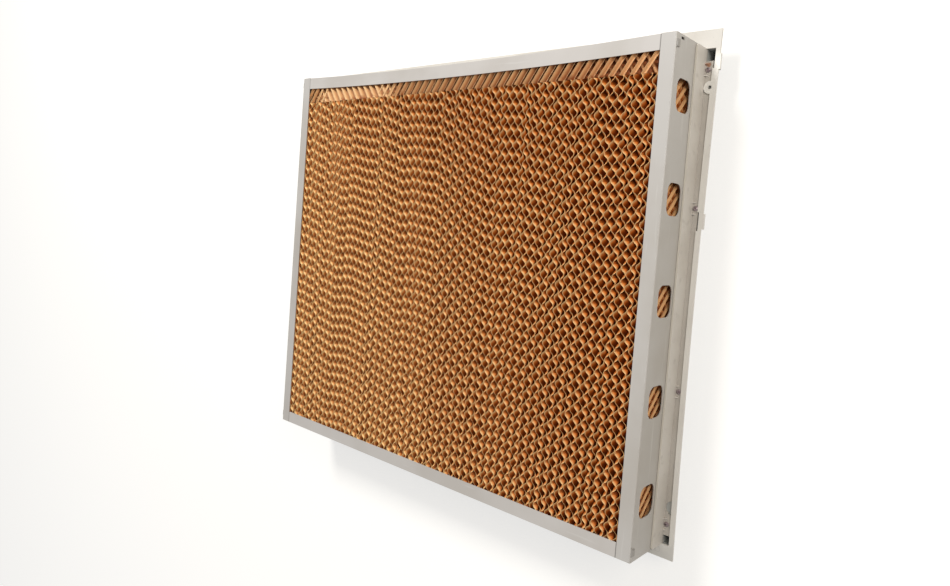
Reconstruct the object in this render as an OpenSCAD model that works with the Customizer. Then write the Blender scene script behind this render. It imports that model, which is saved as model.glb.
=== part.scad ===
// Evaporative cooling pad: a fluted paper pad in a folded sheet frame, seated in a moulded louvre panel.
// It lies with the louvre blades down: X runs across the panel, Y runs up it, and Z points out of the pad's face.
// The origin is under the middle of the panel's outline, on the surface that the blades' side rests on.

/* [Frame] */
// Width of the pad frame over its stiles
frame_w = 832; // [500:1:1100]
// Height of the pad frame over its rails
frame_h = 720; // [500:1:1000]
// Thickness of the folded sheet
sheet_wall = 1.2; // [0.8:0.1:2]
// Width of a stile's front lip
stile_face = 22.5; // [16:0.5:35]
// Height of a rail's front lip
rail_face = 21.5; // [16:0.5:35]
// Width of the lips behind the pad
rear_lip = 14; // [10:0.5:17]
// Outer radius of the folds
fold_r = 2.2; // [2:0.1:3]
// How far the top rail sags at mid span
rail_bow = 7.5; // [0:0.5:12]
// Gap between parts that fit together
fit = 0.4; // [0.3:0.1:0.6]

/* [Stile holes] */
// Number of holes in each stile's web
hole_count = 5; // [2:1:5]
// Frame's ends to the middles of the end holes
hole_end = 79; // [60:0.5:100]
// Size of a hole across the web
hole_w = 40.5; // [26:0.5:44]
// Size of a hole up the web
hole_h = 45; // [26:0.5:60]
// Corner radius of a hole
hole_r = 12; // [4:0.5:13]
// Front face to the near edge of the holes
hole_setback = 13.5; // [6:0.5:15]

/* [Rail tabs] */
// Height of a rail's tab
tab_h = 10; // [6:0.5:12]
// Length of a tab's end that is bent back over the web
tab_flat = 7; // [3:0.5:10]
// Rail's outer face to its tab
tab_inset = 9; // [5:0.5:12]
// Length of a tab's root behind the rail's lip
tab_root = 8; // [4:0.5:12]
// Spare height of the slot that a tab passes
tab_slot_spare = 2.5; // [0.5:0.5:4]
// Width of the spare slot at the top of each web
web_slot_w = 9; // [4:0.5:12]
// Height of the spare slot
web_slot_h = 3.5; // [2:0.5:5]
// Front face to the spare slot
web_slot_setback = 14; // [8:0.5:30]
// Frame's top to the spare slot
web_slot_drop = 3.2; // [2:0.1:8]

/* [Pad] */
// Thickness of the pad from face to back
pad_depth = 100; // [92:1:126]
// Pad's faces to the lips in front and behind
pad_play = 0.8; // [0.5:0.1:3]
// Pad's outer sheets to the stile webs
pad_side_gap = 1.4; // [0.5:0.1:4]
// Pad's ends to the rails and to the strip
pad_end_gap = 0.5; // [0.4:0.1:3]
// Spacing of the paper sheets
sheet_pitch = 8.8; // [7:0.05:10]
// Length of one flute's wave, measured across the flutes
flute_wave = 16.8; // [13:0.1:22]
// Angle of the flutes to the level
flute_angle = 45; // [30:1:60]
// Thickness of the stiffened paper
paper_t = 0.5; // [0.3:0.05:0.8]
// Gap between the crests of one sheet and the next
sheet_gap = 0.3; // [0.2:0.05:0.6]
// Height of the distribution strip on top of the pad
strip_h = 41.5; // [30:0.5:60]

/* [Louvre panel] */
// Louvre side to the back of the frame
louvre_depth = 21; // [19:0.5:40]
// How far the flange stands forward of the frame's back
flange_lap = 14.5; // [12:0.5:20]
// Width of the flange beyond each stile's ends
flange_side = 21.6; // [20.5:0.1:26]
// How much wider the flange is above its lower snap lug
flange_step = 1.5; // [0:0.1:3]
// How far the flange and its grooves bow in at mid height
side_bow = 3.4; // [0:0.1:3.5]
// Width of the flange above the frame
flange_top = 24.5; // [14:0.5:40]
// Width of the flange below the frame
flange_bottom = 18.5; // [14:0.5:40]
// Wall of the moulding
mould_wall = 2.5; // [2:0.1:2.8]
// How far the body behind the flange stands out above and below the frame
body_out = 11; // [9:0.5:13]
// How far a pocket's outer wall leans in from the flange to the louvre side
pocket_lean = 11.5; // [9:0.5:12]
// Width of the border that hides the frame's edge from behind
louvre_border = 18; // [17.5:0.5:30]
// Width of the rim outside each side groove
rim_w = 7.4; // [6.4:0.1:7.4]
// Extra groove width beside a snap lug
rim_relief = 2.5; // [0.5:0.1:2.5]
// Wall between a groove and the outside
riser_t = 1.5; // [1:0.1:2]
// Ends of the side grooves from the frame's ends
groove_end = 1.8; // [1:0.1:6]

/* [Louvre blades] */
// Number of blades
blade_count = 18; // [8:1:24]
// Thickness of a blade
blade_t = 2.2; // [1.5:0.1:3]
// How far a blade rises from its outer edge to its inner edge
blade_rise = 18; // [6:0.5:22]
// Height of the drip lip on a blade's outer edge
drip_lip = 4; // [2:0.5:6]
// Number of upright ribs that carry the blades
mullion_count = 3; // [1:1:5]
// Inner edge of the blades to the pad frame's back
blade_setback = 2; // [1:0.5:5]

/* [Ears and lugs] */
// Radius of a ring ear
ear_r = 9; // [6:0.5:9]
// Radius of the hole in a ring ear
ear_hole_r = 2.75; // [1.5:0.05:4]
// Thickness of an ear
ear_t = 2.2; // [1.5:0.1:2.2]
// Ear's hole from the stile's web
ear_out = 12.2; // [12:0.1:14]
// Frame's top to the ear's hole
ear_drop = 56.5; // [45:0.5:200]
// Radius of the clearance hole under an ear
ear_under_r = 4; // [3:0.1:4.2]
// How far a snap lug stands out of the flange
lug_out = 2; // [1:0.1:4]
// Length of a snap lug
lug_len = 22; // [8:0.5:26]
// Depth of a snap lug
lug_depth = 7; // [4:0.5:7.5]

/* [Side brackets] */
// Thickness of the bracket
bracket_t = 2.5; // [1.5:0.1:2.5]
// Height of the bracket's leg along the web
leg_rise = 35; // [20:0.5:38]
// Flange plane to the face of the bracket's foot
foot_recess = 2.5; // [2.5:0.1:4]
// Radius of the bracket's corners
bracket_r = 3; // [1:0.5:10]
// Length left bare of bracket leg at each end of the frame
leg_end = 1.5; // [0:0.5:20]
// Frame's top to the upper end of the bracket's foot
foot_end_top = 19; // [8:0.5:24]
// Frame's bottom to the lower end of the bracket's foot
foot_end_low = 15; // [8:0.5:24]
// Radius of the half round cut in the foot
foot_cut_r = 11; // [4:0.5:12]
// Frame's bottom to the middle of that cut
foot_cut_rise = 56.5; // [52:0.5:120]
// Thickness of the small gussets beside each screw
gusset_t = 1.4; // [1:0.1:2]
// Size of a gusset
gusset_size = 5; // [2:0.5:6]
// Screw to each of its gussets
gusset_gap = 7.6; // [6:0.1:12]

/* [Screws] */
// Inner pair of screws from the middle of the frame
screw_inner = 132.5; // [60:0.5:200]
// Frame's ends to the outer pair of screws
screw_end = 31.5; // [29:0.5:60]
// Diameter of a screw's head
head_d = 7.2; // [6:0.1:8]
// Height of a screw's head
head_h = 2.6; // [1.5:0.1:3]
// Diameter of a screw's shank
shank_d = 3.8; // [3:0.1:4.2]
// Length of a screw's shank
shank_len = 14; // [8:0.5:20]
// Radial gap round the shank
shank_gap = 0.3; // [0.2:0.05:0.5]
// Wall of the boss round a screw
boss_wall = 1.6; // [1.2:0.1:1.9]
// Depth of the cross recess
recess_depth = 1.2; // [0.5:0.1:1.5]
// Width of the cross recess
recess_w = 1.1; // [0.6:0.1:1.4]

/* [Hidden] */
$fn = 48;
over = 1;

// Levels above the resting surface
frame_depth = pad_depth + 2 * (pad_play + sheet_wall);
frame_back_z = louvre_depth;
front_z = frame_back_z + frame_depth;
pad_front_z = front_z - sheet_wall - pad_play;
pad_back_z = pad_front_z - pad_depth;
flange_z = frame_back_z + flange_lap;
foot_z = flange_z - foot_recess;
foot_back_z = foot_z - bracket_t;
shelf_z = foot_back_z - mould_wall;
boss_z = foot_z - shank_len - boss_wall;
blade_top_z = frame_back_z - blade_setback;

// Outlines in plan
frame_y = (flange_bottom - flange_top) / 2;
half_w = frame_w / 2;
half_h = frame_h / 2;
louvre_w = frame_w - 2 * louvre_border;
louvre_h = frame_h - 2 * louvre_border;
groove_out = flange_side - rim_w;
pocket_out = groove_out + rim_relief + riser_t;
groove_half = half_h - groove_end;
screw_outer = half_h - screw_end;
hole_pitch = (frame_h - 2 * hole_end) / (hole_count - 1);
seat_out = fit + bracket_t;
screw_out = (seat_out + groove_out - bow_at(screw_inner)) / 2;
web_half = half_w - sheet_wall;

// Stretches where the groove is wider beside a snap lug, as shares of the groove's length
rim_relief_shares = [[0.641, 0.678], [0.961, 1]];
// Middles of the snap lugs, as shares of the frame's height
lug_shares = [0.659, 0.971];

// Paper stack
pad_w = 2 * (web_half - pad_side_gap);
sheet_count = floor(pad_w / sheet_pitch);
pad_bottom_y = -half_h + sheet_wall + pad_end_gap;
strip_top_y = half_h - sheet_wall - rail_bow - pad_end_gap;
strip_bottom_y = strip_top_y - strip_h;
pad_top_y = strip_bottom_y - pad_end_gap;
strip_count = floor(pad_depth / sheet_pitch);
crest = sheet_pitch - sheet_gap - paper_t;
sheets_per_node = ceil(sheet_count / 5);
strip_front_count = 3;
strip_back_count = 2;
phase_seed = 7;
phase_shares = rands(0, 1, sheet_count + strip_count, phase_seed);

// Steps in a bowed edge
bow_steps = 16;

function side_x(out) = half_w + out;
function share_y(share) = (share - 0.5) * frame_h;
function bow_at(y) = side_bow * (1 - pow(y / half_h, 2));

// A flat slab between two levels
module slab(low, high) {
    translate([0, 0, low]) linear_extrude(high - low) children();
}

module centred_rect(w, h) {
    translate([-w / 2, -h / 2]) square([w, h]);
}

// The frame's outline grown by a distance on every side
module frame_outline(grow) {
    translate([0, frame_y]) centred_rect(frame_w + 2 * grow, frame_h + 2 * grow);
}

// A rectangle with true arcs at its corners
module rounded_rect(w, h, r) {
    centred_rect(w - 2 * r, h);
    centred_rect(w, h - 2 * r);
    for (x = [r - w / 2, w / 2 - r], y = [r - h / 2, h / 2 - r]) translate([x, y]) circle(r);
}

// A strip along the right side, straight at inner and bowed at outer, between two heights on the frame
module side_strip(inner, outer, low, high) {
    edge = [for (i = [0 : bow_steps]) let (y = low + (high - low) * i / bow_steps) [side_x(outer) - bow_at(y), y]];
    translate([0, frame_y]) polygon(concat(edge, [[side_x(inner), high], [side_x(inner), low]]));
}

module flange_outline() {
    high = half_h + flange_top;
    for (side = [0, 1]) mirror([side, 0]) {
        side_strip(-half_w - over, flange_side, -half_h - flange_bottom, high);
        side_strip(-half_w - over, flange_side + flange_step, share_y(lug_shares[0]), high);
    }
}

// The body's outline behind the flange
module body_outline(shrink) {
    translate([0, frame_y])
        centred_rect(frame_w + 2 * (seat_out - shrink), frame_h + 2 * (body_out - shrink));
}

module frame_ring(outer, inner) {
    difference() {
        frame_outline(outer);
        frame_outline(inner);
    }
}

// One channel section: its web along the left, the front lip at the top and the rear lip at the bottom
module channel_section() {
    difference() {
        union() {
            for (z = [fold_r, frame_depth - fold_r]) translate([fold_r, z]) circle(fold_r);
            translate([fold_r, 0]) square([stile_face - fold_r, frame_depth]);
            translate([0, fold_r]) square([fold_r, frame_depth - 2 * fold_r]);
        }
        translate([sheet_wall, sheet_wall]) square([stile_face, frame_depth - 2 * sheet_wall]);
        translate([rear_lip, -over]) square([stile_face, sheet_wall + 2 * over]);
    }
}

// Cuts through a web, drawn with the frame's height across and its depth upward from the rear lip
module web_cuts() {
    for (i = [0 : hole_count - 1])
        translate([(i - (hole_count - 1) / 2) * hole_pitch, frame_depth - hole_setback - hole_w / 2])
            rounded_rect(hole_h, hole_w, hole_r);
    for (side = [0, 1]) mirror([side, 0])
        translate([half_h - tab_inset - tab_h - tab_slot_spare, frame_depth - 2 * sheet_wall - 1.5 * fit])
            square([tab_h + tab_slot_spare + fit, sheet_wall + fit]);
    translate([half_h - web_slot_drop - web_slot_h, frame_depth - web_slot_setback - web_slot_w])
        square([web_slot_h, web_slot_w]);
}

module stile() {
    translate([-half_w, frame_y, frame_back_z]) difference() {
        rotate([90, 0, 0]) translate([0, 0, -half_h]) linear_extrude(frame_h) channel_section();
        translate([-over, 0, 0]) rotate([90, 0, 90]) linear_extrude(sheet_wall + 2 * over) web_cuts();
    }
}

// A level strip that sags by bow at mid span, between two heights below its top line
function bow_line(half, drop, bow) =
    [for (i = [0 : bow_steps]) let (x = half * (2 * i / bow_steps - 1)) [x, -drop - bow * (1 - pow(x / half_w, 2))]];
function back_way(points) = [for (i = [len(points) - 1 : -1 : 0]) points[i]];
module bowed_strip(half, top_drop, low_drop, bow) {
    polygon(concat(bow_line(half, top_drop, bow), back_way(bow_line(half, low_drop, bow))));
}

// A rail with its outer face at zero and its lips hanging below
module rail(bow) {
    lip_half = half_w - stile_face - fit;
    rear_half = half_w - rear_lip - fit;
    tab_top_z = front_z - sheet_wall - fit;
    slab(front_z - sheet_wall, front_z) bowed_strip(lip_half, 0, rail_face, bow);
    slab(frame_back_z, front_z) bowed_strip(lip_half, 0, sheet_wall, bow);
    slab(frame_back_z + sheet_wall + fit, front_z - sheet_wall - fit)
        bowed_strip(web_half - fit, 0, sheet_wall, bow);
    slab(frame_back_z, frame_back_z + sheet_wall) bowed_strip(rear_half, 0, rear_lip, bow);
    for (side = [0, 1]) mirror([side, 0, 0]) {
        translate([lip_half - tab_root, -tab_inset - tab_h, tab_top_z - sheet_wall])
            cube([half_w + fit + sheet_wall - lip_half + tab_root, tab_h, sheet_wall]);
        translate([lip_half - tab_root, -tab_inset - tab_h, tab_top_z - sheet_wall])
            cube([tab_root, tab_h, 1.5 * sheet_wall + fit]);
        translate([half_w + fit, -tab_inset - tab_h, tab_top_z - tab_flat])
            cube([sheet_wall, tab_h, tab_flat]);
    }
}

// One fluted sheet, flat on the level plane, with its flutes turned by slope
module fluted_sheet(length, width, slope, phase) {
    reach = length + width;
    steps = 2 * ceil(reach / flute_wave);
    lower = [for (i = [-steps / 2 : steps / 2]) [(i + 2 * phase) * flute_wave / 2, abs(i) % 2 * crest]];
    intersection() {
        rotate([0, 0, slope]) rotate([90, 0, 0]) translate([0, 0, -reach / 2])
            linear_extrude(reach)
                polygon(concat(lower, [for (p = back_way(lower)) [p[0], p[1] + paper_t]]));
        translate([-length / 2, -width / 2, -over]) cube([length, width, crest + paper_t + 2 * over]);
    }
}

module pad_sheet(i) {
    translate([(i - sheet_count / 2) * sheet_pitch + sheet_gap / 2, frame_y, (pad_front_z + pad_back_z) / 2])
        translate([0, (pad_bottom_y + pad_top_y) / 2, 0]) rotate([90, 0, 90])
            fluted_sheet(pad_top_y - pad_bottom_y, pad_depth, i % 2 == 0 ? flute_angle : -flute_angle,
                phase_shares[i]);
}

module pad_sheets(group) {
    color("peru") for (i = [group * sheets_per_node : min((group + 1) * sheets_per_node, sheet_count) - 1])
        pad_sheet(i);
}

module strip_sheet(i) {
    translate([0, frame_y + (strip_top_y + strip_bottom_y) / 2, pad_front_z - (i + 1) * sheet_pitch])
        fluted_sheet(pad_w, strip_h, i % 2 == 0 ? flute_angle - 90 : 90 - flute_angle,
            phase_shares[sheet_count + i]);
}

module distribution_pad() {
    color("burlywood") {
        for (i = [0 : strip_front_count - 1]) strip_sheet(i);
        for (i = [strip_count - strip_back_count : strip_count - 1]) strip_sheet(i);
    }
}

// The strip's hidden sheets, as one plain core
module distribution_core() {
    core_top = pad_front_z - strip_front_count * sheet_pitch - sheet_gap;
    core_h = (strip_count - strip_front_count - strip_back_count) * sheet_pitch - sheet_gap;
    color("burlywood") translate([-pad_w / 2, frame_y + strip_bottom_y, core_top - core_h])
        cube([pad_w, strip_h, core_h]);
}

module left_stile() {
    color("lightgray") stile();
}

module right_stile() {
    color("lightgray") mirror([1, 0, 0]) stile();
}

module top_rail() {
    color("lightgray") translate([0, frame_y + half_h, 0]) rail(rail_bow);
}

module bottom_rail() {
    color("lightgray") translate([0, frame_y - half_h, 0]) mirror([0, 1, 0]) rail(0);
}

// Places a child at each screw of the right side
module at_screws() {
    for (y = [-screw_outer, -screw_inner, screw_inner, screw_outer])
        translate([side_x(screw_out), frame_y + y, 0]) children();
}

module bracket() {
    difference() {
        union() {
            translate([side_x(fit), frame_y, foot_back_z]) rotate([90, 0, 90]) linear_extrude(bracket_t) hull() {
                for (y = [-1, 1]) translate([y * (half_h - leg_end - bracket_r), leg_rise - bracket_r])
                    circle(bracket_r);
                translate([-half_h + leg_end, 0]) square([frame_h - 2 * leg_end, over]);
            }
            slab(foot_back_z, foot_z)
                side_strip(fit, groove_out - fit, -half_h + foot_end_low, half_h - foot_end_top);
            at_screws() for (side = [0, 1]) mirror([0, side, 0])
                translate([seat_out - screw_out, gusset_gap, foot_z]) rotate([-90, 0, 0])
                    linear_extrude(gusset_t) polygon([[0, 0], [gusset_size, 0], [0, -gusset_size]]);
        }
        at_screws() translate([0, 0, foot_back_z - over])
            cylinder(r = shank_d / 2 + shank_gap, h = bracket_t + 2 * over);
        translate([side_x(groove_out), frame_y - half_h + foot_cut_rise, foot_back_z - over])
            cylinder(r = foot_cut_r, h = bracket_t + 2 * over);
        translate([side_x(ear_out), frame_y + half_h - ear_drop, foot_back_z - over])
            cylinder(r = ear_under_r, h = bracket_t + 2 * over);
    }
}

module right_bracket() {
    color("silver") bracket();
}

module left_bracket() {
    color("silver") mirror([1, 0, 0]) bracket();
}

// A pan head screw standing on the bracket's foot, with a cross recess
module screw() {
    translate([0, 0, foot_z]) difference() {
        union() {
            cylinder(d = head_d, h = head_h / 2);
            translate([0, 0, head_h / 2]) cylinder(d1 = head_d, d2 = head_d / 2, h = head_h / 2);
            translate([0, 0, -shank_len]) cylinder(d = shank_d, h = shank_len);
        }
        for (a = [0, 90]) rotate(a) translate([-head_d / 4, -recess_w / 2, head_h - recess_depth])
            cube([head_d / 2, recess_w, recess_depth + over]);
    }
}

module right_screws() {
    color("dimgray") at_screws() screw();
}

module left_screws() {
    color("dimgray") mirror([1, 0, 0]) at_screws() screw();
}

// The outline of one side groove on the flange
module groove_outline() {
    side_strip(fit, groove_out, -groove_half, groove_half);
    for (s = rim_relief_shares)
        side_strip(fit, groove_out + rim_relief, (2 * s[0] - 1) * groove_half, (2 * s[1] - 1) * groove_half);
}

// A length along the right side of a section drawn outward from the web and upward from the louvre side
module side_length(low, high) {
    translate([half_w, frame_y + high, 0]) rotate([90, 0, 0]) linear_extrude(high - low) children();
}

// The deep pocket at one end of a groove, between two heights on the frame
module pocket(low, high) {
    top = flange_z - mould_wall / 2;
    difference() {
        side_length(low - mould_wall, high + mould_wall)
            polygon([[fit, 0], [pocket_out - pocket_lean, 0], [pocket_out, top], [fit, top]]);
        side_length(low, high)
            polygon([[seat_out, mould_wall], [pocket_out - pocket_lean - riser_t, mould_wall],
                [pocket_out - riser_t, top + over], [seat_out, top + over]]);
    }
}

// What the right side adds to the moulding before its groove is cut
module side_features() {
    slab(shelf_z, flange_z) side_strip(fit, pocket_out, -half_h + foot_end_low, half_h - foot_end_top);
    pocket(-groove_half, -half_h + foot_end_low);
    pocket(half_h - foot_end_top, groove_half);
    at_screws() translate([0, 0, boss_z])
        cylinder(r = shank_d / 2 + shank_gap + boss_wall, h = foot_back_z - boss_z);
}

module lug(y) {
    translate([side_x(flange_side + flange_step - mould_wall) - bow_at(y), frame_y + y - lug_len / 2, flange_z])
        rotate([-90, 0, 0]) linear_extrude(lug_len)
            polygon([[0, 0], [mould_wall + lug_out, 0], [mould_wall + lug_out, lug_depth / 2],
                [mould_wall, lug_depth], [0, lug_depth]]);
}

module ear() {
    translate([side_x(ear_out), frame_y + half_h - ear_drop, flange_z - ear_t]) cylinder(r = ear_r, h = ear_t);
}

module blade() {
    rotate([90, 0, 90]) linear_extrude(louvre_w + 2 * over, center = true) polygon([
        [0, 0], [blade_t, 0], [blade_t, drip_lip - blade_t], [blade_t + blade_rise, blade_top_z],
        [blade_rise, blade_top_z], [0, drip_lip]]);
}

module louvre_blades() {
    blade_pitch = louvre_h / blade_count;
    for (i = [0 : blade_count - 1])
        translate([0, frame_y - louvre_h / 2 + i * blade_pitch + (blade_pitch - blade_rise - blade_t) / 2, 0])
            blade();
    for (i = [1 : mullion_count])
        translate([-louvre_w / 2 + i * louvre_w / (mullion_count + 1) - mould_wall / 2,
                frame_y - louvre_h / 2 - over, 0])
            cube([mould_wall, louvre_h + 2 * over, blade_top_z]);
}

module louvre_panel() {
    color("whitesmoke") difference() {
        union() {
            difference() {
                union() {
                    slab(flange_z - mould_wall, flange_z) difference() {
                        flange_outline();
                        frame_outline(fit);
                    }
                    slab(0, flange_z) difference() {
                        body_outline(0);
                        body_outline(mould_wall);
                    }
                    slab(0, flange_z) frame_ring(seat_out, fit);
                    for (side = [0, 1]) mirror([side, 0, 0]) side_features();
                }
                for (side = [0, 1]) mirror([side, 0, 0]) slab(foot_back_z, flange_z + over) groove_outline();
            }
            slab(0, mould_wall) difference() {
                body_outline(0);
                frame_outline(-louvre_border);
            }
            slab(0, frame_back_z) frame_ring(mould_wall - louvre_border, -louvre_border);
            for (side = [0, 1]) mirror([side, 0, 0]) {
                ear();
                for (s = lug_shares) lug(share_y(s));
            }
            louvre_blades();
        }
        for (side = [0, 1]) mirror([side, 0, 0]) {
            translate([side_x(ear_out), frame_y + half_h - ear_drop, flange_z - ear_t - over])
                cylinder(r = ear_hole_r, h = ear_t + 2 * over);
            at_screws() translate([0, 0, boss_z + boss_wall / 2])
                cylinder(r = shank_d / 2 + shank_gap, h = foot_back_z);
        }
    }
}

louvre_panel();
left_stile();
right_stile();
top_rail();
bottom_rail();
left_bracket();
right_bracket();
left_screws();
right_screws();
pad_sheets(0);  // pad_sheets_1
pad_sheets(1);  // pad_sheets_2
pad_sheets(2);  // pad_sheets_3
pad_sheets(3);  // pad_sheets_4
pad_sheets(4);  // pad_sheets_5
distribution_pad();
distribution_core();
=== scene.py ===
# %% [markdown]
# This lesson dresses a panel for cooling the air of a livestock house. A block of fluted kraft paper stands in
# a frame of folded sheet, and the frame sits in a moulded louvre panel. The panel lies on its louvre side, so X
# runs across it, Y runs up it and Z comes out of the paper's face.

# %% Load the solids
import math
import random
import bmesh
import bpy
from mathutils import Matrix, Vector


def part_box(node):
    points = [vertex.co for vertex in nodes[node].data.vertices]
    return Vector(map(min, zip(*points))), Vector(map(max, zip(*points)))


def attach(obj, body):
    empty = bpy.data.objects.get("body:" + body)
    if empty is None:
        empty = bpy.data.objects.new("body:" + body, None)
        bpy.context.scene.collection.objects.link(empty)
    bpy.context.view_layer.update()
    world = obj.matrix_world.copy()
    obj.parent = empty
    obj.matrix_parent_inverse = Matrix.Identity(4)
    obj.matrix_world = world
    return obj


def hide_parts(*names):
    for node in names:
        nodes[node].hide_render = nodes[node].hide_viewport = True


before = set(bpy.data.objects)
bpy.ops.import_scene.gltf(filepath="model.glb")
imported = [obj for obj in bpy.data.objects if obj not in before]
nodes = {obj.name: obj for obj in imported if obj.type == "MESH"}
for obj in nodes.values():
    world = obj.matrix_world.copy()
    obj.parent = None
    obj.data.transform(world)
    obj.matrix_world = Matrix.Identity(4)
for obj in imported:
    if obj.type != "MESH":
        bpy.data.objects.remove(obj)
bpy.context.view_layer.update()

# %% [markdown]
# The camera stands to the right of the panel and rather close, so the right side looks larger than the left.
# Its place came from a fit: 18 corners of the frame and the panel had to land where the photograph has them.
# A camera could also be turned by a tracking constraint, but numbers keep the picture the same in every run.
# The picture's centre isn't the lens's centre, so a small shift does what cropping did to the photograph.

# %% Camera
PICTURE_W, PICTURE_H = 950, 586
SENSOR = 36
FOCAL_PIXELS = 692.23
LENS_CENTRE = (490.83, 259.92)
CAMERA_PLACE = (0.83845, 0.08339, 0.97737)
CAMERA_TURN = (0.014765, 0.696410, 0.100825)

eye = bpy.data.cameras.new("photo_camera")
eye.sensor_width = SENSOR
eye.lens = FOCAL_PIXELS / PICTURE_W * SENSOR
eye.shift_x = (PICTURE_W / 2 - LENS_CENTRE[0]) / PICTURE_W
eye.shift_y = (LENS_CENTRE[1] - PICTURE_H / 2) / PICTURE_W
camera = bpy.data.objects.new("photo_camera", eye)
camera.location = CAMERA_PLACE
camera.rotation_euler = CAMERA_TURN
bpy.context.scene.collection.objects.link(camera)
bpy.context.scene.camera = camera
print("lens in mm:", round(eye.lens, 2))

# %% [markdown]
# A material is a small program of nodes. Wiring each Math node by hand hides what is being worked out.
# So one class wraps a node's output and turns plain sums into Math nodes, and one method adds any other node.
# The same could be clicked together in the editor, but written sums can be read, changed and used again.

# %% Sums on sockets
class Wire:
    """A node's output that can be used in a sum."""

    def __init__(self, recipe, socket):
        self.recipe = recipe
        self.socket = socket

    def math(self, operation, first, second=0.0):
        return self.recipe.node("ShaderNodeMath", {"operation": operation}, {0: first, 1: second})

    def __add__(self, other):
        return self.math("ADD", self, other)

    def __sub__(self, other):
        return self.math("SUBTRACT", self, other)

    def __rsub__(self, other):
        return self.math("SUBTRACT", other, self)

    def __mul__(self, other):
        return self.math("MULTIPLY", self, other)

    def __truediv__(self, other):
        return self.math("DIVIDE", self, other)

    def __abs__(self):
        return self.math("ABSOLUTE", self)

    def floor(self):
        return self.math("FLOOR", self)

    def least(self, other):
        return self.math("MINIMUM", self, other)

    def most(self, other):
        return self.math("MAXIMUM", self, other)

    def fade(self, start, end):
        """0 up to start and 1 from end on, with a smooth change between."""
        return self.recipe.node("ShaderNodeMapRange", {"interpolation_type": "SMOOTHSTEP"},
                                {"Value": self, "From Min": start, "From Max": end})

    __radd__ = __add__
    __rmul__ = __mul__


# %% [markdown]
# A finish holds one material. Its place on the surface comes from Object coordinates, in metres.
# That way a speck of 2 mm is 2 mm everywhere, and nothing slides when the camera moves.
# A helper for noise, one for mixing two colours and one for the final shader are enough for every finish here.

# %% A finish and its helpers
class Finish:
    """A material with its nodes."""

    def __init__(self, name):
        self.material = bpy.data.materials.new(name)
        self.material.use_nodes = True
        self.tree = self.material.node_tree
        self.tree.nodes.clear()
        self.spot = self.node("ShaderNodeTexCoord", output="Object")
        parts = self.node("ShaderNodeSeparateXYZ", inputs={0: self.spot})
        outputs = parts.socket.node.outputs
        self.x, self.y, self.z = (Wire(self, socket) for socket in outputs)

    def node(self, kind, settings=None, inputs=None, output=0):
        """Adds a node, sets it up, and returns one of its outputs."""
        new = self.tree.nodes.new(kind)
        for name, value in (settings or {}).items():
            setattr(new, name, value)
        for name, value in (inputs or {}).items():
            if isinstance(value, Wire):
                self.tree.links.new(value.socket, new.inputs[name])
            else:
                new.inputs[name].default_value = value
        return Wire(self, new.outputs[output]) if new.outputs else None

    def noise(self, per_metre, detail=2.0, stretch=(1, 1, 1)):
        """A cloudy pattern from 0 to 1, with so many clouds a metre."""
        spot = self.node("ShaderNodeMapping", inputs={"Vector": self.spot, "Scale": stretch})
        return self.node("ShaderNodeTexNoise", inputs={"Vector": spot, "Scale": per_metre, "Detail": detail})

    def mix(self, share, first, second):
        """The first colour where share is 0 and the second where it is 1."""
        return self.node("ShaderNodeMix", {"data_type": "RGBA"}, {0: share, 6: first, 7: second}, output=2)

    def near(self, point, radius, soft):
        """1 within a radius of a point, and 0 beyond it."""
        away = self.node("ShaderNodeVectorMath", {"operation": "DISTANCE"}, {0: self.spot, 1: point},
                         output="Value")
        return 1 - away.fade(radius, radius + soft)

    def finish(self, colour, roughness, height=None, relief=0.0, **constants):
        """Joins everything to the surface and returns the material."""
        inputs = {"Base Color": colour, "Roughness": roughness}
        if height is not None:
            inputs["Normal"] = self.node("ShaderNodeBump", inputs={
                "Height": height, "Distance": relief, "Strength": 1.0})
        inputs.update({name.replace("_", " "): value for name, value in constants.items()})
        shader = self.node("ShaderNodeBsdfPrincipled", inputs=inputs)
        self.node("ShaderNodeOutputMaterial", inputs={"Surface": shader})
        return self.material


def shade(red, green, blue):
    """A colour as a picture shows it, from 0 to 255, made linear for the shader."""
    def linear(value):
        part = value / 255
        return part / 12.92 if part <= 0.04045 else ((part + 0.055) / 1.055) ** 2.4
    return (linear(red), linear(green), linear(blue), 1.0)


# %% [markdown]
# The paper is kraft, soaked in resin and baked, so it is golden brown and a little uneven from sheet to sheet.
# It is pale at its cut faces. Deeper in it is painted orange and then dark brown: partly its own tone, partly painted
# shade and painted bounce light in the cells.
# A picture of paper could be wrapped round it, but masks from the distance to the cut faces need no map.

# %% Kraft paper
SHEET_PITCH = 0.00725
PAPER_GOLD = shade(255, 217, 148)
PAPER_RED = shade(219, 167, 112)
PAPER_WARM_BOUNCE = shade(216, 113, 24)
PAPER_DEEP_SHADE = shade(124, 54, 12)
PAPER_FRAYED = shade(146, 78, 46)
PAPER_CUT = shade(244, 200, 138)
PAPER_STAIN = shade(150, 92, 46)
PAPER_PALE = shade(228, 184, 136)
CUT_BAND = 0.0005
CUT_SOFT = 0.0005
WARM_START = 0.0006
WARM_DEPTH = 0.0034
DEEP_SHADE_START = 0.0016
DEEP_SHADE_DEPTH = 0.0066
SIDE_SLOWER = 0.4
PALE_SIDE = 0.007
PALE_SHARE = 0.6
FRAYED_RISE = 0.009
FRAYED_SHARE = 0.8
BLOTCH_SHARE = 0.35
FIBRE_SHARE = 0.12
CUT_SHARE = 0.6
FIBRE_RELIEF = 0.00012
PAPER_GLOSS = 0.15


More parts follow.
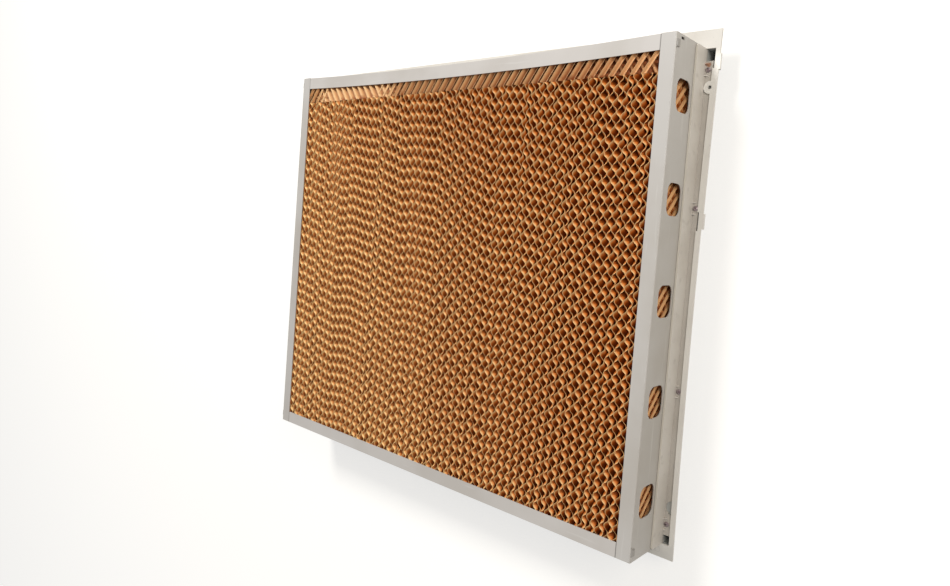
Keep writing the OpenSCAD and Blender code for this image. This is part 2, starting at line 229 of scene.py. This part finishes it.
def paper_finish(name, across, low, high, side, sawn=True, bleached=0.0, border=None):
    """Kraft paper between the levels low and high, in sheets that follow each other on the axis across.
    Its ends lie at the distance side to the left and right. Its faces at those levels are sawn, or else whole sheets.
    The share bleached says how pale the light made it, and border is the level of a frayed lower edge."""
    paper = Finish(name)
    number = ({"x": paper.x, "z": paper.z}[across] / SHEET_PITCH).floor()
    own = paper.node("ShaderNodeTexWhiteNoise", {"noise_dimensions": "1D"}, {"W": number}, output="Value")
    clouds = paper.noise(2.6, detail=3)
    # Towards the lower left corner, where this is 0, the paper is paler and less red and the painted shade in its
    # depth is weaker; towards the upper right both grow.
    corner = (paper.x * 0.5 + paper.y * 0.24 + 0.13).fade(-0.05, 0.34)
    redness = (corner * 0.8 + clouds.fade(0.35, 0.7) * 0.3 + own * 0.2).least(1)
    colour = paper.mix(redness, PAPER_GOLD, PAPER_RED)
    blotches = paper.noise(55, detail=4).fade(0.56, 0.74) * BLOTCH_SHARE
    colour = paper.mix(blotches, colour, PAPER_STAIN)
    fibres = paper.noise(900, detail=3, stretch=(1, 0.35, 0.35))
    colour = paper.mix(fibres.fade(0.5, 0.72) * FIBRE_SHARE, colour, PAPER_CUT)
    colour = paper.mix(bleached, colour, PAPER_PALE)
    colour = paper.mix((1 - (side - abs(paper.x)).fade(0, PALE_SIDE)) * PALE_SHARE, colour, PAPER_PALE)
    if border is not None:
        frayed = (1 - (paper.y - border).fade(0, FRAYED_RISE)) * blotches.fade(0, 0.1)
        colour = paper.mix(frayed * FRAYED_SHARE, colour, PAPER_FRAYED)
    middle, half = (low + high) / 2, (high - low) / 2
    out = abs(paper.z - middle)
    inside = (half - out).least((side - abs(paper.x)) * SIDE_SLOWER)
    # Partly the paper's own tone, partly painted shade and bounce light: deeper into the cells the paper is painted
    # orange, then dark brown.
    warm = inside.fade(WARM_START, WARM_DEPTH) * (1 - bleached) * (corner * 0.2 + 0.7)
    colour = paper.mix(warm, colour, PAPER_WARM_BOUNCE)
    colour = paper.mix(inside.fade(DEEP_SHADE_START, DEEP_SHADE_DEPTH) * (corner * 0.43 + 0.46), colour, PAPER_DEEP_SHADE)
    if sawn:
        cut = out.fade(half - CUT_BAND - CUT_SOFT, half - CUT_BAND)
        colour = paper.mix(cut * CUT_SHARE, colour, PAPER_CUT)
    roughness = fibres * 0.2 + 0.45
    return paper.finish(colour, roughness, height=fibres, relief=FIBRE_RELIEF, Specular_IOR_Level=PAPER_GLOSS)


# %% [markdown]
# The pad is a block of 114 paper sheets. Each one is fluted at 45 degrees, and each next one leans the other way.
# The crests touch and are glued, so air and water wander through cells that look like a honeycomb from the front.
# A sheet could be drawn as a grid of many points, but a flute is straight along its length.
# So one row of narrow strips is waved, given its paper's thickness, turned by 45 degrees and trimmed by four planes.
# The row starts out large enough to cover the whole sheet after the turn.

# %% One fluted sheet
FLUTE_WAVE = 0.0138
PAPER_T = 0.0005
SHEET_GAP = 0.0002
CREST = SHEET_PITCH - SHEET_GAP - PAPER_T
FULLNESS = 1.35
FLUTE_ANGLE = math.radians(45)
STRIPS_PER_WAVE = 12
COVER = 0.75
SWAY = 0.35
SWAYS_PER_METRE = 14
WAVE_SPREAD = 0.01
SHARP_ANGLE = math.radians(50)
TINY = 1e-7


def trim(sheet, normal, reach):
    """Saws off what lies beyond a plane, and closes the cut paper."""
    cut = bmesh.ops.bisect_plane(sheet, geom=sheet.verts[:] + sheet.edges[:] + sheet.faces[:], dist=TINY,
                                 plane_co=Vector(normal) * reach, plane_no=normal, clear_outer=True)
    rim = [part for part in cut["geom_cut"] if isinstance(part, bmesh.types.BMEdge)]
    bmesh.ops.edgeloop_fill(sheet, edges=rim)


def fluted_sheet(length, width, slope, start, chance):
    """A bmesh of one trimmed sheet, centred on the level plane, with its flutes turned by slope.
    The wave stands at the angle start in the middle of the sheet's front edge."""
    sheet = bmesh.new()
    reach = (length + width) * COVER
    strips = math.ceil(reach / FLUTE_WAVE) * STRIPS_PER_WAVE
    bmesh.ops.create_grid(sheet, x_segments=strips, y_segments=1, size=reach / 2)
    turn = FLUTE_WAVE * chance.uniform(1 - WAVE_SPREAD, 1 + WAVE_SPREAD) / math.tau
    phase = start - width / 2 * math.sin(slope) / turn
    sway = chance.uniform(0, math.tau)
    for vert in sheet.verts:
        vert.co.y *= 2
        slow = SWAY * math.sin(vert.co.x * SWAYS_PER_METRE + sway)
        wave = math.sin(vert.co.x / turn + phase + slow)
        vert.co.z = CREST / 2 * wave * (FULLNESS - (FULLNESS - 1) * wave ** 2)
    bmesh.ops.solidify(sheet, geom=sheet.faces[:], thickness=PAPER_T)
    middle = sum((min(v.co.z for v in sheet.verts), max(v.co.z for v in sheet.verts))) / 2
    bmesh.ops.translate(sheet, verts=sheet.verts, vec=(0, 0, -middle))
    bmesh.ops.rotate(sheet, verts=sheet.verts, cent=(0, 0, 0), matrix=Matrix.Rotation(slope, 3, "Z"))
    for normal, across in (((1, 0, 0), length), ((-1, 0, 0), length), ((0, 1, 0), width), ((0, -1, 0), width)):
        trim(sheet, normal, across / 2)
    return sheet


def finished(mesh_parts, name, material, replaced):
    """Joins bmeshes into one named piece that stands for the solids replaced."""
    whole = bmesh.new()
    for part in mesh_parts:
        spare = bpy.data.meshes.new("spare")
        part.to_mesh(spare)
        part.free()
        whole.from_mesh(spare)
        bpy.data.meshes.remove(spare)
    bmesh.ops.recalc_face_normals(whole, faces=whole.faces[:])
    for face in whole.faces:
        face.smooth = True
    for edge in whole.edges:
        edge.smooth = edge.calc_face_angle(0) < SHARP_ANGLE
    mesh = bpy.data.meshes.new(name)
    whole.to_mesh(mesh)
    whole.free()
    mesh.materials.append(material)
    piece = bpy.data.objects.new(name, mesh)
    bpy.context.scene.collection.objects.link(piece)
    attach(piece, "root")
    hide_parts(*replaced)
    print(name, "faces:", len(mesh.polygons))


# %% [markdown]
# The sheets stand on edge, one beside the next across the panel. The solids show fewer and coarser sheets.
# Here the true count is built in five blocks, and each block takes the place of one of the solids' five groups.
# Each next sheet starts half a wave further on, and a lean, a slow drift and a slip of chance are added to that.
# So some rows close to round cells and others wind, as in a real pad. A fixed seed makes this the same in each run.
# The saw ran through the outermost sheets, so only bands of them are left, and they show in the stiles' holes.

# %% The pad
SHEET_COUNT = 114
SIDE_SAWN = 0.55
LEAN = 0.6
DRIFT = 0.5
DRIFT_SHEETS = 4.5
SLIP = 1.0
STACK_SEED = 11
PAD_NODES = ["pad_sheets_1", "pad_sheets_2", "pad_sheets_3", "pad_sheets_4", "pad_sheets_5"]
pad_low, pad_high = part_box("pad_sheets_1")
pad_length = pad_high[1] - pad_low[1]
pad_width = pad_high[2] - pad_low[2]
pad_middle = Vector((0, (pad_low[1] + pad_high[1]) / 2, (pad_low[2] + pad_high[2]) / 2))
STAND_UP = Matrix(((0, 0, 1), (1, 0, 0), (0, 1, 0)))
per_block = math.ceil(SHEET_COUNT / len(PAD_NODES))
chance = random.Random(STACK_SEED)
start = 0.0
sawn_side = SHEET_COUNT / 2 * SHEET_PITCH - SIDE_SAWN * CREST
pad_paper = paper_finish("pad_paper", "x", pad_low[2], pad_high[2], sawn_side)

for block, replaced in enumerate(PAD_NODES):
    sheets = []
    for i in range(block * per_block, min((block + 1) * per_block, SHEET_COUNT)):
        start += math.pi + LEAN + DRIFT * math.sin(i / DRIFT_SHEETS) + chance.uniform(-SLIP, SLIP)
        sheet = fluted_sheet(pad_length, pad_width, FLUTE_ANGLE if i % 2 else -FLUTE_ANGLE, start, chance)
        if i in (0, SHEET_COUNT - 1):
            trim(sheet, (0, 0, 1 if i else -1), (CREST + PAPER_T) * (0.5 - SIDE_SAWN))
        bmesh.ops.rotate(sheet, verts=sheet.verts, cent=(0, 0, 0), matrix=STAND_UP)
        across = Vector(((i + 0.5 - SHEET_COUNT / 2) * SHEET_PITCH, 0, 0))
        bmesh.ops.translate(sheet, verts=sheet.verts, vec=pad_middle + across)
        sheets.append(sheet)
    finished(sheets, "pad_block_" + str(block + 1), pad_paper, [replaced])

# %% [markdown]
# Water drips first on a strip of the same paper that lies on top of the block and spreads it out.
# Its sheets lie flat against the face, so the front shows whole flutes as slanting ribs and not a honeycomb.
# They were pushed in a little crooked and then sawn level, so in places the next sheet shows too.

# %% The distribution strip
strip_low, strip_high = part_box("distribution_pad")
strip_length = strip_high[0] - strip_low[0]
strip_width = strip_high[1] - strip_low[1]
strip_count = math.floor((strip_high[2] - strip_low[2]) / SHEET_PITCH)
strip_paper = paper_finish("strip_paper", "z", strip_low[2], strip_high[2], strip_high[0],
                           sawn=False, bleached=0.75, border=strip_low[1])
STRIP_ANGLE = math.radians(34)
STRIP_SAWN = 0.0012
STRIP_RISES = ((-0.5, 0), (-0.385, 0), (-0.34, 0.0062), (-0.17, 0.0062), (-0.11, 0), (0.24, 0), (0.36, 0.0027),
               (0.5, 0.0034))


def rise(x):
    """How far the strip's sheets are pushed forward at x."""
    for (left, before), (right, after) in zip(STRIP_RISES, STRIP_RISES[1:]):
        if left <= x <= right:
            return before + (after - before) * (x - left) / (right - left)
    return 0


sheets = []
for i in range(strip_count):
    sheet = fluted_sheet(strip_length, strip_width, STRIP_ANGLE if i % 2 else -STRIP_ANGLE, i * math.pi, chance)
    for vert in sheet.verts:
        vert.co.z += rise(vert.co.x) + STRIP_SAWN
    middle = Vector((0, (strip_low[1] + strip_high[1]) / 2, strip_high[2] - (i + 0.5) * SHEET_PITCH))
    bmesh.ops.translate(sheet, verts=sheet.verts, vec=middle)
    trim(sheet, (0, 0, 1), strip_high[2])
    sheets.append(sheet)
finished(sheets, "distribution_strip", strip_paper, ["distribution_pad", "distribution_core"])

# %% [markdown]
# The frame is folded from thin sheet with a light grey coat. The coat has a faint orange peel and greyer clouds.
# Handling leaves fine lengthwise scuffs and a few darker marks.
# A single grey would look like a drawing, so all of these are mixed in, each only a little off the coat's colour.
# The rails' small tabs come out through the stiles and are bent over, and they are painted pale, a painted highlight
# for the light they catch.
# The rails' coat is painted a touch paler than the stiles', painted light for the stronger light on them. Where the
# rails slip behind the stiles a thin line is darkened, a painted shadow.

# %% Coated sheet
COAT = shade(197, 193, 188)
COAT_CLOUD = shade(186, 180, 172)
COAT_SCUFF = shade(214, 211, 206)
COAT_MARK = shade(150, 142, 130)
COAT_TAB_HIGHLIGHT = shade(238, 234, 226)
JOINT_SHADE = shade(120, 115, 110)
JOINT_X, STILE_FACE_X = (corner[0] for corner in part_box("right_stile"))
TAB_SOFT = 0.0002
JOINT_START = 0.002
JOINT_END = 0.0006
SCUFF_SHARE = 0.35
MARK_SHARE = 0.35
PEEL_RELIEF = 0.00003


def coat_finish(name, clean, cloud, rub, joint=0.0):
    """A grey coat with clouds, rubbed lines along the direction that rub stretches, and marks.
    The share joint says how dark the painted shadow is where a rail slips behind a stile."""
    coat = Finish(name)
    colour = coat.mix(coat.noise(7, detail=4).fade(0.35, 0.7), clean, cloud)
    scuffs = coat.noise(160, detail=3, stretch=rub).fade(0.62, 0.72)
    colour = coat.mix(scuffs * SCUFF_SHARE, colour, COAT_SCUFF)
    marks = coat.noise(75, detail=5).fade(0.72, 0.78)
    colour = coat.mix(marks * MARK_SHARE, colour, COAT_MARK)
    # Painted highlight: the rails' bent-over tabs outside the stiles are painted pale.
    bent_out_highlight = abs(coat.x).fade(STILE_FACE_X, STILE_FACE_X + TAB_SOFT)
    colour = coat.mix(bent_out_highlight, colour, COAT_TAB_HIGHLIGHT)
    # Painted shadow: a thin dark line on the rails where they slip behind the stiles.
    seam_shadow = abs(coat.x).fade(JOINT_X - JOINT_START, JOINT_X - JOINT_END)
    colour = coat.mix(seam_shadow * joint, colour, JOINT_SHADE)
    peel = coat.noise(650, detail=1)
    roughness = coat.noise(30, detail=2) * 0.14 + 0.36
    return coat.finish(colour, roughness, height=peel, relief=PEEL_RELIEF)


def dress(material, *names):
    """Gives a finish to solids whose shape stays."""
    for name in names:
        slots = nodes[name].data.materials
        slots.clear()
        slots.append(material)
    print(material.name, "on", ", ".join(names))


dress(coat_finish("stile_coat", COAT, COAT_CLOUD, (1, 0.06, 1)), "left_stile", "right_stile")
# Painted light: the rails get a paler copy of the stiles' coat, for the stronger light on them.
RAIL_COAT_LIT = shade(204, 199, 194)
RAIL_CLOUD_LIT = shade(193, 187, 180)
dress(coat_finish("rail_coat_lit", RAIL_COAT_LIT, RAIL_CLOUD_LIT, (0.06, 1, 1), joint=0.75), "top_rail", "bottom_rail")

# %% [markdown]
# The angles beside the stiles are plain coated steel too, and older than the frame.
# The feet, down in the groove, are painted darker as painted shade. Water ran from the uppermost screw on the right
# and left a patch of rust there.
# The patch is a distance to a point, frayed by noise, so it lies where it belongs on the surface.

# %% Bracket steel with a rust patch
BRACKET_GREY = shade(222, 216, 208)
BRACKET_CLOUD = shade(212, 205, 196)
BRACKET_EDGE_HIGHLIGHT = shade(228, 222, 210)
BRACKET_FOOT_SHADE = shade(138, 133, 125)
GRIME_SHARE = 0.3
FOOT_SHADE_SHARE = 0.5
FOOT_SHADE_RISE = 0.005
EDGE_HIGHLIGHT_BAND = 0.0008
bracket_low, bracket_top = (corner[2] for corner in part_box("right_bracket"))
RUST = shade(168, 104, 58)
right_screw_low, right_screw_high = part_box("right_screws")
RUST_ABOVE = 0.004
RUST_R = 0.001
RUST_SOFT = 0.007
RUST_SHARE = 0.8
RUST_RELIEF = 0.0002
rust_point = ((right_screw_low[0] + right_screw_high[0]) / 2, right_screw_high[1] + RUST_ABOVE, right_screw_high[2])


def bracket_finish():
    """Coated steel with rust near one screw."""
    steel = Finish("bracket_coat")
    colour = steel.mix(steel.noise(18, detail=4).fade(0.35, 0.7), BRACKET_GREY, BRACKET_CLOUD)
    grime = steel.noise(60, detail=5).fade(0.58, 0.78) * GRIME_SHARE
    colour = steel.mix(grime, colour, COAT_MARK)
    # Painted shade: the feet, down at the lowest level, are painted darker.
    low = 1 - steel.z.fade(bracket_low, bracket_low + FOOT_SHADE_RISE)
    colour = steel.mix(low * FOOT_SHADE_SHARE, colour, BRACKET_FOOT_SHADE)
    # Painted highlight: a pale band along the leg's front edge stands in for the light its rounded edge catches.
    edge = steel.z.fade(bracket_top - EDGE_HIGHLIGHT_BAND, bracket_top - EDGE_HIGHLIGHT_BAND / 4)
    colour = steel.mix(edge, colour, BRACKET_EDGE_HIGHLIGHT)
    frayed = steel.noise(260, detail=4)
    rust = (steel.near(rust_point, RUST_R, RUST_SOFT) + frayed - 0.5).fade(0.35, 0.8) * RUST_SHARE
    colour = steel.mix(rust, colour, RUST)
    return steel.finish(colour, rust * 0.35 + 0.42, height=frayed * rust, relief=RUST_RELIEF)


dress(bracket_finish(), "left_bracket", "right_bracket")

# %% [markdown]
# The screws are zinc plated steel that has dulled, so they mirror less than bare metal does.
# Metallic is set halfway for that, and noise makes the plate darker and rougher in spots.

# %% Screw steel
ZINC = shade(186, 172, 176)
ZINC_DULL = shade(140, 122, 126)
ZINC_RELIEF = 0.00004


def screw_finish():
    """Dull zinc plate."""
    zinc = Finish("screw_steel")
    dull = zinc.noise(420, detail=3).fade(0.4, 0.65)
    colour = zinc.mix(dull, ZINC, ZINC_DULL)
    return zinc.finish(colour, dull * 0.3 + 0.32, height=dull, relief=ZINC_RELIEF, Metallic=0.5)


dress(screw_finish(), "left_screws", "right_screws")

# %% [markdown]
# The louvre panel is moulded in off-white plastic. The mould's ejector pins left faint rings on its flange.
# Dust greys it in clouds. The upper flange is painted greyer as painted shade, and the side grooves are painted
# darker as painted shade.
# Rings could be cut in the mesh, but they have almost no depth.
# So each ring is a band of distance round a point, used once in the colour and once in the bump.

# %% Moulded plastic
PLASTIC = shade(249, 246, 240)
PLASTIC_DUST_AND_SHADE = shade(210, 205, 196)
PLASTIC_RING = shade(205, 202, 196)
PLASTIC_GROOVE_SHADE = shade(150, 156, 156)
DUST_SHARE = 0.4
UPPER_SHADE_SHARE = 0.75
UPPER_SHADE_SOFT = 0.02
SPECK_SHARE = 0.3
EDGE_SOFT = 0.0005
RING_R = 0.004
RING_W = 0.0006
RING_SHARE = 0.5
RING_RELIEF = 0.00005
flange_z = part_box("louvre_panel")[1][2]
GROOVE_DEPTH = 0.003
GROOVE_LEVEL = flange_z - GROOVE_DEPTH
GROOVE_SHADE_SHARE = 0.7
frame_low, frame_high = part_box("right_stile")
UPPER_PINS = (0.016, 0.14, 0.3)
UPPER_PIN_RISE = 0.012
LOWER_PIN = 0.003
LOWER_PIN_DROP = 0.008
PIN_PLACES = [(side * (frame_high[0] - inset), frame_high[1] + UPPER_PIN_RISE, flange_z)
              for side in (-1, 1) for inset in UPPER_PINS]
PIN_PLACES += [(side * (frame_high[0] - LOWER_PIN), frame_low[1] - LOWER_PIN_DROP, flange_z) for side in (-1, 1)]


def plastic_finish():
    """Off-white moulding with dust, painted shade on the upper flange and in the grooves, and ejector rings."""
    plastic = Finish("moulded_plastic")
    # Painted shade: the upper flange is painted greyer; the dust clouds mixed in with it are real.
    upper_shade = plastic.y.fade(frame_high[1] - UPPER_SHADE_SOFT, frame_high[1])
    dust_and_shade = (plastic.noise(9, detail=5).fade(0.42, 0.72) * DUST_SHARE + upper_shade * UPPER_SHADE_SHARE).least(1)
    colour = plastic.mix(dust_and_shade, PLASTIC, PLASTIC_DUST_AND_SHADE)
    # Painted shade: the plastic deep in the side grooves beside the frame is painted blue-grey.
    beside = abs(plastic.x).fade(frame_high[0] - EDGE_SOFT, frame_high[0])
    groove_shade = (1 - plastic.z.fade(GROOVE_LEVEL - EDGE_SOFT, GROOVE_LEVEL)) * beside
    colour = plastic.mix(groove_shade * GROOVE_SHADE_SHARE, colour, PLASTIC_GROOVE_SHADE)
    specks = plastic.noise(240, detail=3).fade(0.7, 0.76) * SPECK_SHARE
    colour = plastic.mix(specks, colour, COAT_MARK)
    rings = plastic.near(PIN_PLACES[0], RING_R, RING_W) - plastic.near(PIN_PLACES[0], RING_R - RING_W, RING_W)
    for place in PIN_PLACES[1:]:
        rings = rings + plastic.near(place, RING_R, RING_W) - plastic.near(place, RING_R - RING_W, RING_W)
    colour = plastic.mix(rings * RING_SHARE, colour, PLASTIC_RING)
    grain = plastic.noise(900, detail=1)
    return plastic.finish(colour, dust_and_shade * 0.2 + 0.4, height=grain * 0.3 - rings, relief=RING_RELIEF)


dress(plastic_finish(), "louvre_panel")

# %% [markdown]
# The panel lies on a plain floor. The photograph's background is white, so the floor is white to the camera.
# To everything else it is a warm grey, so that it doesn't throw too much light back on the object.
# A shadow catcher could do this as well, but a glow that only the camera sees keeps the shadow in any view.

# %% Floor and world
FLOOR_SIDE = 30
FLOOR_BASE = (0.5, 0.48, 0.44, 1)
FLOOR_GLOW = (0.64, 0.64, 0.64, 1)
BLACK = (0, 0, 0, 1)


def floor_finish():
    """White to the camera and in mirrors, grey to the light that bounces."""
    floor = Finish("floor_paint")
    path = floor.node("ShaderNodeLightPath")
    outputs = path.socket.node.outputs
    camera_ray, glossy_ray = (Wire(floor, outputs[name]) for name in ("Is Camera Ray", "Is Glossy Ray"))
    glow = floor.mix(camera_ray.most(glossy_ray), BLACK, FLOOR_GLOW)
    return floor.finish(FLOOR_BASE, floor.noise(3) * 0.1 + 0.85, Emission_Color=glow, Emission_Strength=1.0,
                        Specular_IOR_Level=0.1)


ground = bmesh.new()
bmesh.ops.create_grid(ground, x_segments=1, y_segments=1, size=FLOOR_SIDE / 2)
floor_mesh = bpy.data.meshes.new("floor")
ground.to_mesh(floor_mesh)
ground.free()
floor_mesh.materials.append(floor_finish())
floor = bpy.data.objects.new("floor", floor_mesh)
bpy.context.scene.collection.objects.link(floor)

WORLD_STRENGTH = 0.3
world = bpy.data.worlds.new("studio")
world.use_nodes = True
tree = world.node_tree
back = tree.nodes["Background"]
back.inputs["Color"].default_value = (1, 1, 1, 1)
rays = tree.nodes.new("ShaderNodeLightPath")
level = tree.nodes.new("ShaderNodeMapRange")
level.inputs["To Min"].default_value = WORLD_STRENGTH
level.inputs["To Max"].default_value = 1
tree.links.new(rays.outputs["Is Camera Ray"], level.inputs["Value"])
tree.links.new(level.outputs["Result"], back.inputs["Strength"])
bpy.context.scene.world = world

# %% [markdown]
# Light came from above the standing panel. Lying down, "above" is along Y.
# A wide lamp there lights the upper flank of every flute and leaves the other in shade.
# A weaker, warmer lamp on the right lights the stile's web and the bracket, and the sky fills the rest.
# A single small lamp would be too hard, and light from all round would look flat.

# %% Lamps
AIM = Vector((0, 0, 0.06))


def soft_lamp(name, place, size, watts, tint=(1, 1, 1)):
    """A square lamp that faces the panel."""
    lamp = bpy.data.lights.new(name, "AREA")
    lamp.size = size
    lamp.energy = watts
    lamp.color = tint
    holder = bpy.data.objects.new(name, lamp)
    holder.location = place
    holder.rotation_euler = (AIM - Vector(place)).to_track_quat("-Z", "Y").to_euler()
    bpy.context.scene.collection.objects.link(holder)
    print(name, "at", place)


soft_lamp("key", (-1.0, 2.8, 3.0), 0.9, 129)
soft_lamp("fill", (2.1, 1.1, 1.75), 1.2, 29, (1.0, 0.94, 0.84))
bpy.context.scene.view_settings.view_transform = "Standard"
